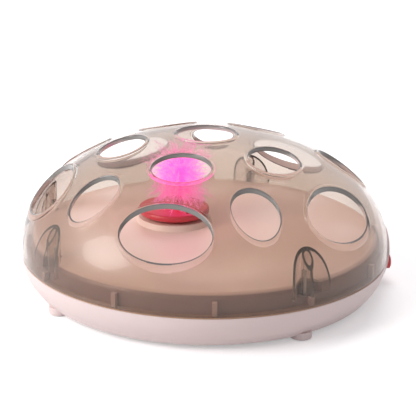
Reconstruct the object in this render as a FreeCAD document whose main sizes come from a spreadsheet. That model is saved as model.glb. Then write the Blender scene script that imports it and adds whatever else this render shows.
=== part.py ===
import FreeCAD, Part
import math
import os
import re

import Sketcher
from FreeCAD import Placement, Rotation, Vector

# Cat feather dome: a smoked dome with paw holes over a cream tray, a tub with the drive and the
# cells below, and a feather on a turning red disc. Millimetres. Z is up and starts on the floor,
# the dome's axis is the Z axis, and the push button looks along +X.

SIZES = {
    # Dome and its paw holes
    "dome_radius": 125.0,
    "dome_wall": 2.4,
    "skirt_height": 5.3,
    "crown_height": 75.2,
    "bead_height": 1.5,
    "bead_width": 2.6,
    "big_hole_turn": 6.0,
    "big_hole_inset": 20.8,
    "big_hole_across": 28.8,
    "big_hole_deep": 13.4,
    "small_hole_turn": 5.0,
    "small_hole_inset": 31.0,
    "small_hole_across": 15.2,
    "small_hole_deep": 15.5,
    "upper_hole_turn": 3.7,
    "upper_hole_inset": 68.4,
    "upper_hole_across": 19.2,
    "upper_hole_deep": 14.8,
    "apex_hole": 19.8,
    # Dome screw posts
    "sleeve_inset": 4.0,
    "sleeve_radius": 9.5,
    "sleeve_wall": 1.6,
    "screw_inset": 12.0,
    "post_boss_radius": 3.2,
    "post_web": 1.4,
    # Tub
    "floor_gap": 2.5,
    "tub_wall": 2.2,
    "tub_top": 24.5,
    "under_inset": 13.0,
    "corner_inset": 7.5,
    "corner_height": 3.5,
    "corner_round": 6.0,
    "side_round": 26.6,
    # Tray
    "flange": 1.0,
    "flange_step": 0.6,
    "tray_inset": 6.3,
    "tray_wall": 2.0,
    "tray_shoulder": 5.0,
    "tray_rim_height": 14.1,
    "tray_crown": 5.9,
    "tray_flat": 48.5,
    "lip_depth": 3.0,
    "lip_wall": 1.5,
    "rib_width": 3.0,
    "rib_gap": 0.6,
    "well_floor": 2.0,
    "well_lift": 5.0,
    # Pedestal, rotor and feather
    "rotor_offset": 21.3,
    "pedestal_foot": 26.3,
    "pedestal_top": 24.4,
    "pedestal_height": 4.2,
    "pedestal_sink": 1.1,
    "pedestal_hole": 8.0,
    "disc_radius": 24.0,
    "disc_thick": 4.5,
    "disc_edge": 1.8,
    "disc_gap": 2.0,
    "disc_hub": 6.0,
    "socket_ring": 18.3,
    "socket_radius": 1.7,
    "wand_offset": 3.0,
    "wand_radius": 0.8,
    "ferrule_radius": 2.4,
    "ferrule_height": 7.0,
    "plume_radius": 22.0,
    "plume_height": 38.0,
    "plume_lift": 4.5,
    # Gear train
    "gear_module": 0.5,
    "backlash": 0.12,
    "output_teeth": 48.0,
    "idler_teeth": 40.0,
    "pinion_teeth": 10.0,
    "frame_height": 29.5,
    "plate_thick": 2.0,
    "plate_length": 62.0,
    "plate_width": 42.0,
    "plate_corner": 5.0,
    "wheel_face": 2.5,
    "pinion_face": 3.5,
    "axial_play": 0.4,
    "shaft_radius": 2.0,
    "bush_radius": 3.0,
    "pin_radius": 0.75,
    "motor_shaft_radius": 1.0,
    "motor_radius": 10.0,
    "motor_flats": 15.0,
    "motor_length": 24.0,
    "frame_post": 3.4,
    # Control pod and button
    "pod_half_width": 22.0,
    "pod_foot": 8.0,
    "pod_top": 39.0,
    "pod_proud": 3.0,
    "pod_wall": 2.0,
    "pod_lean": 1.6,
    "pod_bow": 90.0,
    "button_radius": 5.0,
    "button_drop": 12.5,
    "button_proud": 2.6,
    "button_travel": 0.8,
    "button_stem": 2.0,
    "button_dome": 1.6,
    "collar_thick": 1.2,
    "board_setback": 16.0,
    "switch_side": 6.0,
    "switch_deep": 3.5,
    # Cells and their door
    "cell_radius": 7.1,
    "cell_length": 49.5,
    "cell_pitch": 15.0,
    "cell_count": 3.0,
    "cell_bay_start": 31.0,
    "bay_clearance": 1.2,
    "bay_wall": 1.6,
    "door_thick": 1.8,
    "door_slide": 10.0,
    "door_margin": 3.0,
    "tongue_deep": 1.5,
    "tongue_thick": 1.0,
    "tongue_length": 8.0,
    # Circuit board
    "board_length": 46.0,
    "board_width": 52.0,
    "board_thick": 1.6,
    "board_height": 12.0,
    "board_margin": 4.0,
    "board_post": 3.0,
    "contact_side": 9.0,
    "contact_thick": 0.5,
    "board_inset": 29.0,
    # Fasteners, feet and clearances
    "screw_radius": 1.45,
    "screw_hole": 1.7,
    "pilot_hole": 1.5,
    "screw_head": 2.8,
    "screw_head_height": 2.0,
    "screw_length": 40.0,
    "short_screw": 8.0,
    "foot_inset": 13.0,
    "foot_radius": 7.0,
    "foot_pad_radius": 5.6,
    "foot_pad_thick": 2.2,
    "foot_recess": 1.5,
    "fit_gap": 0.25,
    "running_gap": 0.05,
    # Length of a tool that cuts right through a wall
    "through": 20.0,
}

# Heights and centres that follow from the sizes above
DERIVED = {
    "big_hole_ring": "dome_radius - big_hole_inset",
    "small_hole_ring": "dome_radius - small_hole_inset",
    "upper_hole_ring": "dome_radius - upper_hole_inset",
    "sleeve_ring": "dome_radius - sleeve_inset",
    "screw_ring": "dome_radius - screw_inset",
    "foot_ring": "dome_radius - foot_inset",
    "under_radius": "dome_radius - under_inset",
    "corner_radius": "dome_radius - corner_inset",
    "tray_radius": "dome_radius - tray_inset",
    "board_start": "board_inset - dome_radius",
    "seam_top": "tub_top + flange",
    "skirt_top": "seam_top + skirt_height",
    "inner_radius": "dome_radius - dome_wall",
    "tray_rim_top": "tub_top + tray_rim_height",
    "tray_top": "tray_rim_top + tray_crown",
    "tub_floor": "floor_gap + tub_wall",
    "well_seat": "tub_top + flange + well_lift",
    "pedestal_face": "tray_top + pedestal_height - 0.5",
    "disc_bottom": "pedestal_face + disc_gap",
    "disc_top": "disc_bottom + disc_thick",
    "plate_top": "frame_height + plate_thick",
    "wheel_low": "plate_top + axial_play",
    "pinion_low": "wheel_low + wheel_face",
    "output_low": "pinion_low + axial_play",
    "cover_low": "pinion_low + pinion_face + axial_play",
    "cover_top": "cover_low + plate_thick",
    "output_centre": "-rotor_offset",
    "idler_centre": "output_centre + gear_module * (output_teeth + pinion_teeth) / 2",
    "motor_centre": "idler_centre + gear_module * (idler_teeth + pinion_teeth) / 2",
    "plate_centre": "(output_centre + motor_centre) / 2 - 2",
    "post_x": "plate_length / 2 - plate_corner",
    "post_y": "plate_width / 2 - plate_corner",
    "pod_radius": "dome_radius + pod_proud",
    "button_height": "seam_top - button_drop",
    "collar_face": "pod_radius - pod_wall - 3",
    "board_face": "dome_radius - board_setback",
    "switch_tip": "board_face + switch_deep + 1.2",
    "cell_height": "floor_gap + door_thick + bay_clearance / 2 + cell_radius",
    "bay_length": "cell_count * cell_pitch + bay_clearance",
    "bay_width": "cell_length + 5",
    "bay_top": "cell_height + cell_radius + bay_clearance / 2",
    "rail_floor": "tub_floor + 2",
    "screw_seat": "floor_gap + 3.7",
}

POST_ANGLES = [70, 160, 210, 300]
RIB_ANGLES = [30 * i for i in range(1, 12)]
# The holes mirror each other about a line near the pod, with a wider gap above it
WIDE_HOLE_ANGLES = [45, 112.5, 180, 247.5, 315]
SMALL_HOLE_ANGLES = [0, 78.75, 146.25, 213.75, 281.25]

doc = FreeCAD.newDocument("CatFeatherDome")
sheet = doc.addObject("Spreadsheet::Sheet", "Sizes")
for row, (alias, number) in enumerate(SIZES.items(), start=1):
    sheet.set("A%d" % row, alias.replace("_", " "))
    sheet.set("B%d" % row, str(number))
    sheet.setAlias("B%d" % row, alias)
doc.recompute()


def spelled(expression):
    """Write derived sizes out in full and point every size at its cell."""
    text = str(expression)
    while any(re.search(r"\b%s\b" % name, text) for name in DERIVED):
        for name, formula in DERIVED.items():
            text = re.sub(r"\b%s\b" % name, "(%s)" % formula, text)
    for name in SIZES:
        text = re.sub(r"(?<![\w.])%s\b" % name, "Sizes." + name, text)
    return text


def value(expression):
    """Number of an expression in the sheet's sizes."""
    return float(sheet.evalExpression(spelled(expression).replace("Sizes.", "")))


def bind(item, **expressions):
    """Tie properties of an object to the sheet."""
    for prop, expression in expressions.items():
        item.setExpression(prop, spelled(expression))
    return item


def place(item, x=0, y=0, z=0, turn=0, axis=(0, 0, 1)):
    """Turn an object and tie its position to the sheet."""
    item.Placement = Placement(Vector(0, 0, 0), Rotation(Vector(*axis), turn))
    for letter, expression in zip("xyz", (x, y, z)):
        if str(expression) != "0":
            item.setExpression("Placement.Base." + letter, spelled(expression))
    return item


def polar(ring, angle):
    """X and Y expressions of a point on a ring."""
    return "(%s) * cos(%s)" % (ring, angle), "(%s) * sin(%s)" % (ring, angle)


def cylinder(name, radius, height, x=0, y=0, z=0, turn=0, axis=(0, 0, 1)):
    item = doc.addObject("Part::Cylinder", name)
    bind(item, Radius=radius, Height=height)
    return place(item, x, y, z, turn, axis)


def cone(name, low_radius, high_radius, height, x=0, y=0, z=0):
    item = doc.addObject("Part::Cone", name)
    bind(item, Radius1=low_radius, Radius2=high_radius, Height=height)
    return place(item, x, y, z)


def box(name, length, width, height, x=0, y=0, z=0, turn=0):
    """Box whose corner lies at x, y, z."""
    item = doc.addObject("Part::Box", name)
    bind(item, Length=length, Width=width, Height=height)
    return place(item, x, y, z, turn)


def centred_box(name, length, width, height, x=0, y=0, z=0):
    """Box that is centred on x and y and stands on z."""
    return box(name, length, width, height,
               "%s - (%s) / 2" % (x, length), "%s - (%s) / 2" % (y, width), z)


def spoke(name, start, length, width, height, z, angle):
    """Flat bar along a ray from the axis."""
    item = doc.addObject("Part::Box", name)
    bind(item, Length=length, Width=width, Height=height)
    x = "(%s) * cos(%d) + (%s) / 2 * sin(%d)" % (start, angle, width, angle)
    y = "(%s) * sin(%d) - (%s) / 2 * cos(%d)" % (start, angle, width, angle)
    return place(item, x, y, z, angle)


def round_corners(name, item, radius):
    """Round the four upright edges of a box."""
    doc.recompute()
    rounded = doc.addObject("Part::Fillet", name)
    rounded.Base = item
    upright = [i for i, edge in enumerate(item.Shape.Edges, start=1)
               if abs(edge.tangentAt(edge.FirstParameter).z) > 0.99]
    rounded.Edges = [(i, value(radius), value(radius)) for i in upright]
    return rounded


def fuse(name, *items):
    joined = doc.addObject("Part::MultiFuse", name)
    joined.Shapes = list(items)
    return joined


def cut(name, base, *tools):
    result = doc.addObject("Part::Cut", name)
    result.Base = base
    result.Tool = tools[0] if len(tools) == 1 else fuse(name + "_tools", *tools)
    return result


def common(name, *items):
    shared = doc.addObject("Part::MultiCommon", name)
    shared.Shapes = list(items)
    return shared


def group(name, *items):
    """Like pieces that share one node, as separate solids."""
    together = doc.addObject("Part::Compound", name)
    together.Links = list(items)
    return together


def profile(body, plane, name, points):
    """Closed sketch through points (across, up, radius); a radius bends the line that follows."""
    origin_plane = [f for f in body.Origin.OriginFeatures if f.Role == plane][0]
    sketch = body.newObject("Sketcher::SketchObject", name)
    sketch.AttachmentSupport = (origin_plane, [""])
    sketch.MapMode = "FlatFace"
    spots = [Vector(value(p[0]), value(p[1]), 0) for p in points]
    count = len(points)
    starts, ends = [], []
    for i, point in enumerate(points):
        here, there = spots[i], spots[(i + 1) % count]
        if len(point) < 3:
            sketch.addGeometry(Part.LineSegment(here, there), False)
            starts.append(1)
            ends.append(2)
            continue
        radius = value(point[2])
        chord = there - here
        side = Vector(-chord.y, chord.x, 0).normalize() * (1 if radius > 0 else -1)
        reach = math.sqrt(max(radius ** 2 - chord.Length ** 2 / 4, 0))
        centre = (here + there) * 0.5 + side * reach
        first = math.atan2(here.y - centre.y, here.x - centre.x)
        last = math.atan2(there.y - centre.y, there.x - centre.x)
        circle = Part.Circle(centre, Vector(0, 0, 1), abs(radius))
        if radius > 0:
            sketch.addGeometry(Part.ArcOfCircle(circle, first, last), False)
        else:
            sketch.addGeometry(Part.ArcOfCircle(circle, last, first), False)
        starts.append(1 if radius > 0 else 2)
        ends.append(2 if radius > 0 else 1)
    for i in range(count):
        after = (i + 1) % count
        sketch.addConstraint(Sketcher.Constraint("Coincident", i, ends[i], after, starts[after]))
    for i, point in enumerate(points):
        for kind, axis, expression in (("DistanceX", -2, point[0]), ("DistanceY", -1, point[1])):
            if str(expression) == "0":
                sketch.addConstraint(Sketcher.Constraint("PointOnObject", i, starts[i], axis))
                continue
            number = sketch.addConstraint(
                Sketcher.Constraint(kind, -1, 1, i, starts[i], value(expression)))
            sketch.setExpression("Constraints[%d]" % number, spelled(expression))
        if len(point) == 3:
            number = sketch.addConstraint(Sketcher.Constraint("Radius", i, abs(value(point[2]))))
            sketch.setExpression("Constraints[%d]" % number, spelled("abs(%s)" % point[2]))
    return sketch


def turned(name, points):
    """Body of revolution about Z from a half section (radius, height)."""
    body = doc.addObject("PartDesign::Body", name)
    sketch = profile(body, "XZ_Plane", name + "_section", points)
    spin = body.newObject("PartDesign::Revolution", name + "_turned")
    spin.Profile = sketch
    spin.ReferenceAxis = (sketch, ["V_Axis"])
    spin.Angle = 360
    body.Tip = spin
    return body


def ellipse_prism(name, across, deep, ring, angle, grow="0"):
    """Upright elliptical prism on a ring, with its long axis along the ring."""
    outline = doc.addObject("Part::Ellipse", name + "_outline")
    long_way, turn = (across, angle + 90)
    short_way = deep
    if value(across) < value(deep):
        long_way, short_way, turn = deep, across, angle
    bind(outline, MajorRadius="%s + %s" % (long_way, grow), MinorRadius="%s + %s" % (short_way, grow))
    x, y = polar(ring, angle)
    place(outline, x, y, "skirt_top - 2", turn)
    prism = doc.addObject("Part::Extrusion", name)
    prism.Base = outline
    prism.DirMode = "Custom"
    prism.Dir = (0, 0, 1)
    prism.Solid = True
    bind(prism, LengthFwd="crown_height + 10")
    return prism


def crown(name, shrink):
    """Upper half of the dome's oval, made smaller all round by a thickness."""
    oval = doc.addObject("Part::Ellipsoid", name)
    oval.Angle1 = 0
    oval.Angle2 = 90
    bind(oval, Radius1="crown_height - (%s)" % shrink,
         Radius2="dome_radius - (%s)" % shrink, Radius3="dome_radius - (%s)" % shrink)
    return place(oval, 0, 0, "skirt_top")


def dome_fill(name, shrink, low="seam_top"):
    """Solid below the dome's surface, with the skirt."""
    skirt = cylinder(name + "_skirt", "dome_radius - (%s)" % shrink, "skirt_top - (%s)" % low, z=low)
    return fuse(name, skirt, crown(name + "_crown", shrink))


def hole_prisms(name, grow="0"):
    """Prisms of all paw holes: three rings of five and the one at the top."""
    prisms = []
    for size, angles in (("big", WIDE_HOLE_ANGLES), ("small", SMALL_HOLE_ANGLES),
                         ("upper", WIDE_HOLE_ANGLES)):
        hole = size + "_hole_"
        for i, angle in enumerate(angles):
            prisms.append(ellipse_prism("%s_%s%d" % (name, size, i), hole + "across", hole + "deep",
                                        hole + "ring", angle + value(hole + "turn"), grow))
    prisms.append(cylinder(name + "_apex", "apex_hole + " + grow, "crown_height", z="skirt_top"))
    return fuse(name, *prisms)


def arch_prism(name, shrink, start, length):
    """Arch-shaped bar along X in the outline of the control pod."""
    half = "(pod_half_width - (%s))" % shrink
    low = "pod_foot + (%s)" % shrink
    spring = "pod_top - pod_half_width"
    block = box(name + "_block", length, "2 * " + half, "%s - (%s)" % (spring, low),
                start, "-" + half, low)
    head = cylinder(name + "_head", half, length, start, 0, spring, 90, (0, 1, 0))
    return fuse(name, block, head)


def involute(radius, base):
    """Polar angle that the involute has run to at a radius."""
    if radius <= base:
        return 0.0
    roll = math.sqrt((radius / base) ** 2 - 1)
    return roll - math.atan(roll)


def gear_outline(teeth, phase=0.0):
    """Closed outline of a spur gear with backlash, its first tooth at the phase angle."""
    module = value("gear_module")
    pitch = module * teeth / 2
    base = pitch * math.cos(math.radians(20))
    tip = pitch + 0.9 * module
    root = pitch - 1.2 * module
    half_tooth = (math.pi * module / 2 - value("backlash")) / 2 / pitch
    at_pitch = involute(pitch, base)
    radii = [root, max(base, root + 0.01), pitch, tip]
    points = []
    for i in range(teeth):
        middle = phase + 2 * math.pi * i / teeth
        flank = [(r, half_tooth + at_pitch - involute(r, base)) for r in radii]
        left = [(r, middle - a) for r, a in flank]
        right = [(r, middle + a) for r, a in reversed(flank)]
        points += [Vector(r * math.cos(a), r * math.sin(a), 0) for r, a in left + right]
    return Part.Wire(Part.makePolygon(points + points[:1]))


def gear_wheel(name, teeth, face, x, z, phase=0.0):
    """Spur gear on an upright axis; its outline comes from the tooth formula."""
    blank = doc.addObject("Part::Feature", name)
    blank.Shape = Part.Face(gear_outline(int(value(teeth)), phase)).extrude(Vector(0, 0, value(face)))
    blank.Placement = Placement(Vector(value(x), 0, value(z)), Rotation())
    return blank


def screw(name, length, x, y, z, up=True):
    """Pan head screw with its head's seat at z; it points up or down."""
    way = 1 if up else -1
    head = cylinder(name + "_head", "screw_head", "screw_head_height", x, y,
                    "%s - screw_head_height" % z if up else z)
    shank_z = z if up else "%s - (%s)" % (z, length)
    shank = cylinder(name + "_shank", "screw_radius", length, x, y, shank_z)
    slot_z = "%s - screw_head_height" % z if way > 0 else "%s + screw_head_height - 0.8" % z
    cross = [centred_box("%s_slot%d" % (name, i), a, b, "0.8", x, y, slot_z)
             for i, (a, b) in enumerate((("3.2", "0.8"), ("0.8", "3.2")))]
    return cut(name, fuse(name + "_body", head, shank), *cross)


# Dome: a thin oval shell with a short straight skirt. A raised bead runs round each paw hole,
# and four hollow screw posts stand in front of the wall.

def make_dome():
    shell = cut("dome_shell", dome_fill("dome_outer", "0"), dome_fill("dome_inner", "dome_wall"))
    bead_layer = cut("bead_layer", crown("bead_crown", "-bead_height"), crown("bead_core", "dome_wall"))
    beads = common("dome_beads", bead_layer, hole_prisms("bead_prisms", "bead_width"))
    posts = []
    for i, angle in enumerate(POST_ANGLES):
        sx, sy = polar("sleeve_ring", angle)
        bx, by = polar("screw_ring", angle)
        low = "well_seat + 0.1"
        sleeve = cylinder("sleeve%d" % i, "sleeve_radius", "crown_height", sx, sy, low)
        hollow = cylinder("sleeve_hollow%d" % i, "sleeve_radius - sleeve_wall", "crown_height",
                          sx, sy, low)
        web = spoke("sleeve_web%d" % i, "screw_ring", "dome_radius - screw_ring", "post_web",
                    "crown_height", low, angle)
        boss = cylinder("post_boss%d" % i, "post_boss_radius", "crown_height", bx, by, low)
        posts.append(fuse("post%d" % i, cut("sleeve_shell%d" % i, sleeve, hollow), web, boss))
    posts_in_dome = common("dome_posts", fuse("posts_raw", *posts), dome_fill("post_limit", "0.4"))
    pilots = []
    for i, angle in enumerate(POST_ANGLES):
        x, y = polar("screw_ring", angle)
        pilots.append(cylinder("dome_pilot%d" % i, "pilot_hole", "screw_length - 21", x, y, "well_seat"))
    whole = fuse("dome_whole", shell, beads, posts_in_dome)
    notch = arch_prism("dome_notch", "-fit_gap", "tray_radius + 0.3", "through")
    return cut("dome", whole, hole_prisms("paw_holes"), notch, *pilots)


# Tub: the lower shell with a bowed side, four feet, screw towers, the cell bay and the drive posts.

def make_tub():
    section = [
        ("0", "floor_gap"),
        ("under_radius", "floor_gap", "corner_round"),
        ("corner_radius", "floor_gap + corner_height", "side_round"),
        ("dome_radius", "tub_top"),
        ("dome_radius - tub_wall", "tub_top", "-(side_round - tub_wall)"),
        ("corner_radius - tub_wall", "floor_gap + corner_height + 1", "-corner_round"),
        ("under_radius - 1", "tub_floor"),
        ("0", "tub_floor"),
    ]
    parts = [turned("tub_turned", section)]
    holes = []
    for i, angle in enumerate(POST_ANGLES):
        fx, fy = polar("foot_ring", angle)
        sx, sy = polar("screw_ring", angle)
        parts.append(cylinder("tub_foot%d" % i, "foot_radius", "tub_floor + 0.6 - (foot_pad_thick - foot_recess)",
                              fx, fy, "foot_pad_thick - foot_recess"))
        parts.append(cylinder("tub_tower%d" % i, "post_boss_radius + 0.1",
                              "well_seat - well_floor - tub_floor - 0.1", sx, sy, "tub_floor"))
        holes.append(cylinder("foot_recess%d" % i, "foot_pad_radius + 0.1", "foot_recess + 0.1",
                              fx, fy, "foot_pad_thick - foot_recess - 0.1"))
        holes.append(cylinder("head_recess%d" % i, "screw_head + 0.25",
                              "screw_seat - foot_pad_thick + 0.2", sx, sy, "foot_pad_thick - 0.2"))
        holes.append(cylinder("tower_hole%d" % i, "screw_hole", "tub_top + 10", sx, sy, "foot_pad_thick"))
    for i, (sx, sy) in enumerate(((1, 1), (1, -1), (-1, 1), (-1, -1))):
        x = "plate_centre + %d * post_x" % sx
        y = "%d * post_y" % sy
        parts.append(cylinder("drive_post%d" % i, "frame_post", "frame_height - tub_floor",
                              x, y, "tub_floor"))
        holes.append(cylinder("drive_pilot%d" % i, "pilot_hole", "short_screw + 2",
                              x, y, "frame_height - short_screw - 2"))
        bx = "board_start + board_length / 2 + %d * (board_length / 2 - board_margin)" % sx
        by = "%d * (board_width / 2 - board_margin)" % sy
        parts.append(cylinder("board_post%d" % i, "board_post", "board_height - tub_floor",
                              bx, by, "tub_floor"))
        holes.append(cylinder("board_pilot%d" % i, "pilot_hole", "board_height - tub_floor - 0.6",
                              bx, by, "tub_floor + 0.6"))
    bay_x = "cell_bay_start + bay_length / 2"
    outer = ("bay_length + 2 * bay_wall", "bay_width + 2 * bay_wall")
    parts.append(centred_box("bay_box", *outer, "bay_top + bay_wall - floor_gap - 0.5",
                             bay_x, 0, "floor_gap + 0.5"))
    parts.append(box("rail_floor_pad", "bay_length + door_slide + 2 * door_margin + 4",
                     "bay_width + 2 * door_margin + 2 * tongue_deep + 4", "rail_floor - floor_gap",
                     "cell_bay_start - door_margin - 2",
                     "-(bay_width / 2 + door_margin + tongue_deep + 2)", "floor_gap"))
    holes.append(centred_box("bay_hollow", "bay_length", "bay_width", "bay_top - floor_gap + 1",
                             bay_x, 0, "floor_gap - 1"))
    holes.append(box("door_recess", "bay_length + 2 * door_margin + door_slide + 0.6",
                     "bay_width + 2 * door_margin", "door_thick + 1.2",
                     "cell_bay_start - door_margin - 0.3", "-(bay_width / 2 + door_margin)",
                     "floor_gap - 1"))
    groove_low = "floor_gap + (door_thick - tongue_thick) - 0.2"
    for side in (1, -1):
        edge = "bay_width / 2 + door_margin"
        groove_y = edge if side > 0 else "-(%s + tongue_deep + 0.3)" % edge
        holes.append(box("groove%d" % (side + 1), "bay_length + 2 * door_margin + door_slide + 0.6",
                         "tongue_deep + 0.3", "tongue_thick + 0.4",
                         "cell_bay_start - door_margin - 0.3", groove_y, groove_low))
        for i, start in enumerate(tongue_starts()):
            holes.append(box("groove_mouth%d_%d" % (side + 1, i), "tongue_length + 1",
                             "tongue_deep + 0.3", "tongue_thick + 2",
                             "%s + door_slide - 0.5" % start, groove_y, "floor_gap - 1"))
    holes.append(arch_prism("tub_notch", "-fit_gap", "dome_radius - 13", "through"))
    solid = cut("tub_cut", fuse("tub_fused", *parts), *holes)
    rails = []
    for i, side in enumerate((1, -1)):
        y = "switch_side / 2 + 3.7" if side > 0 else "-(switch_side / 2 + 3.7) - 2"
        rails.append(box("board_rail%d" % i, "4.6", "2", "8", "board_face - 3.1", y, "tub_floor - 0.2"))
    slots = centred_box("board_slot", "board_thick + 0.2", "switch_side + 9.4", "9",
                        "board_face - board_thick / 2", 0, "tub_floor")
    return fuse("base_shell", solid, cut("board_rails", fuse("board_rail_pair", *rails), slots))


def tongue_starts():
    """X of the two door tongues of one side."""
    return ["cell_bay_start + 4", "cell_bay_start + bay_length - 4 - tongue_length"]


# Tray: a crowned cream cover with a flange that shows as a thin line at the seam, eleven upright
# ribs against the dome's skirt, wells for the screw posts and the raised pedestal of the rotor.

def tray_section(shrink, top_drop, low):
    return [
        ("0", low),
        ("tray_radius - %s" % shrink, low),
        ("tray_radius - %s" % shrink, "tray_rim_top - tray_shoulder - %s" % top_drop, "tray_shoulder"),
        ("tray_radius - tray_shoulder - %s" % shrink, "tray_rim_top - %s" % top_drop,
         "(tray_radius - tray_shoulder - %s - tray_flat) ^ 2 / (2 * tray_crown) + tray_crown / 2" % shrink),
        ("tray_flat", "tray_top - %s" % top_drop),
        ("0", "tray_top - %s" % top_drop),
    ]


def make_tray():
    outer = turned("tray_outer", tray_section("0", "0", "tub_top"))
    inner = turned("tray_inner", tray_section("tray_wall", "tray_wall", "tub_top - 1"))
    rise = "pedestal_height + pedestal_sink"
    foot_low = "pedestal_face - pedestal_height - pedestal_sink"
    pedestal = cone("pedestal_outer", "pedestal_foot", "pedestal_top", rise, "output_centre", 0, foot_low)
    pedestal_hollow = cone("pedestal_inner", "pedestal_foot - tray_wall", "pedestal_top - tray_wall",
                           rise, "output_centre", 0, foot_low + " - tray_wall")
    wells, notches, holes = [], [], []
    for i, angle in enumerate(POST_ANGLES):
        sx, sy = polar("sleeve_ring", angle)
        bx, by = polar("screw_ring", angle)
        low = "well_seat - well_floor"
        wells.append(cylinder("well%d" % i, "sleeve_radius + 0.5 + tray_wall", "2 * through", sx, sy, low))
        wells.append(cylinder("well_boss%d" % i, "post_boss_radius + 0.4 + tray_wall", "2 * through", bx, by, low))
        notches.append(cylinder("notch%d" % i, "sleeve_radius + 0.5", "2 * through", sx, sy, "well_seat"))
        notches.append(cylinder("notch_boss%d" % i, "post_boss_radius + 0.4", "2 * through", bx, by, "well_seat"))
        holes.append(cylinder("well_hole%d" % i, "screw_hole", "through", bx, by, "well_seat - through / 2"))
    cavity = cut("tray_cavity", inner, *wells)
    shell = cut("tray_shell", outer, cavity, cylinder("crown_hole", "pedestal_foot - tray_wall", "through",
                                                      "output_centre", 0, "tray_rim_top - through / 4"))
    extras = [cut("tray_flange", cylinder("flange_disc", "dome_radius - flange_step", "flange", z="tub_top"),
                  cylinder("flange_hole", "tray_radius - 0.5", "through", z="tub_top - through / 4")),
              cut("tray_lip", cylinder("lip_outer", "dome_radius - tub_wall - fit_gap",
                                       "lip_depth + 0.2", z="tub_top - lip_depth"),
                  cylinder("lip_hole", "dome_radius - tub_wall - fit_gap - lip_wall", "through",
                           z="tub_top - through / 2"))]
    reach = "inner_radius - rib_gap - tray_radius + 1"
    for i, angle in enumerate(RIB_ANGLES):
        extras.append(spoke("tray_rib%d" % i, "tray_radius - 1", reach, "rib_width",
                            "tray_rim_height - tray_shoulder", "tub_top + 0.5", angle))
    whole = fuse("tray_whole", shell, cut("pedestal", pedestal, pedestal_hollow), *extras)
    spindle = cylinder("pedestal_bore", "pedestal_hole", "through", "output_centre", 0, "pedestal_face - through / 2")
    pod_gap = cut("tray_notch", arch_prism("tray_notch_arch", "-fit_gap", "tray_radius - 6", "through"),
                  cylinder("tray_notch_core", "tray_radius", "tray_top"))
    lip_gap = common("lip_notch", arch_prism("lip_notch_arch", "-fit_gap - 1.5", "tray_radius - 8", "through"),
                     cylinder("lip_notch_low", "dome_radius", "tub_top"))
    return cut("tray", whole, spindle, pod_gap, lip_gap, *notches, *holes)


# Control pod: an arched cover over the seam, with the push button in it.

def pod_section(shrink):
    return [
        ("dome_radius - 8.5", "pod_foot - 1"),
        ("pod_radius - pod_lean - %s" % shrink, "pod_foot - 1", "pod_bow"),
        ("pod_radius - %s" % shrink, "seam_top", "pod_bow"),
        ("dome_radius + 0.8 - %s" % shrink, "pod_top + 1"),
        ("tray_radius + 0.6", "pod_top + 1"),
        ("tray_radius + 0.6", "tub_top"),
        ("dome_radius - 8.5", "tub_top"),
    ]


def make_pod():
    block = common("pod_block", turned("pod_turned", pod_section("0")),
                   arch_prism("pod_arch", "0", "dome_radius - 20", "2 * through"))
    hollow = common("pod_hollow", turned("pod_hollow_turned", pod_section("pod_wall")),
                    arch_prism("pod_hollow_arch", "pod_wall", "dome_radius - 20", "2 * through"))
    guide = cylinder("button_guide", "button_radius + fit_gap + pod_wall * 0.8",
                     "pod_radius - pod_wall - collar_face", "collar_face + 0.1", 0, "button_height", 90,
                     (0, 1, 0))
    bore = cylinder("button_bore", "button_radius + fit_gap", "1.5 * through", "dome_radius - 8", 0,
                    "button_height", 90, (0, 1, 0))
    return cut("control_pod", fuse("pod_body", cut("pod_shell", block, hollow), guide), bore)


def make_button():
    back = "collar_face - collar_thick"
    cap = cylinder("button_cap", "button_radius", "pod_radius + button_proud - button_dome - (%s)" % back,
                   back, 0, "button_height", 90, (0, 1, 0))
    nose = doc.addObject("Part::Ellipsoid", "button_nose")
    nose.Angle1 = 0
    nose.Angle2 = 90
    bind(nose, Radius1="button_dome", Radius2="button_radius", Radius3="button_radius")
    place(nose, "pod_radius + button_proud - button_dome", 0, "button_height", 90, (0, 1, 0))
    collar = cylinder("button_collar", "button_radius + 1.2", "collar_thick", back, 0,
                      "button_height", 90, (0, 1, 0))
    stem_start = "switch_tip + button_travel + 0.1"
    stem = cylinder("button_stem_rod", "button_stem", "%s - (%s) + 0.5" % (back, stem_start),
                    stem_start, 0, "button_height", 90, (0, 1, 0))
    return fuse("power_button", cap, nose, collar, stem)


def make_switch():
    board = box("switch_board", "board_thick", "switch_side + 9", "22", "board_face - board_thick",
                "-(switch_side + 9) / 2", "tub_floor + 0.1")
    body = box("switch_body", "switch_deep", "switch_side", "switch_side", "board_face",
               "-switch_side / 2", "button_height - switch_side / 2")
    plunger = cylinder("switch_plunger", "1.7", "switch_tip - board_face - switch_deep + 0.2",
                       "board_face + switch_deep - 0.2", 0, "button_height", 90, (0, 1, 0))
    return [board, fuse("tact_switch", body, plunger)]


# Cells, their contacts and the sliding door under the tub.

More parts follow.
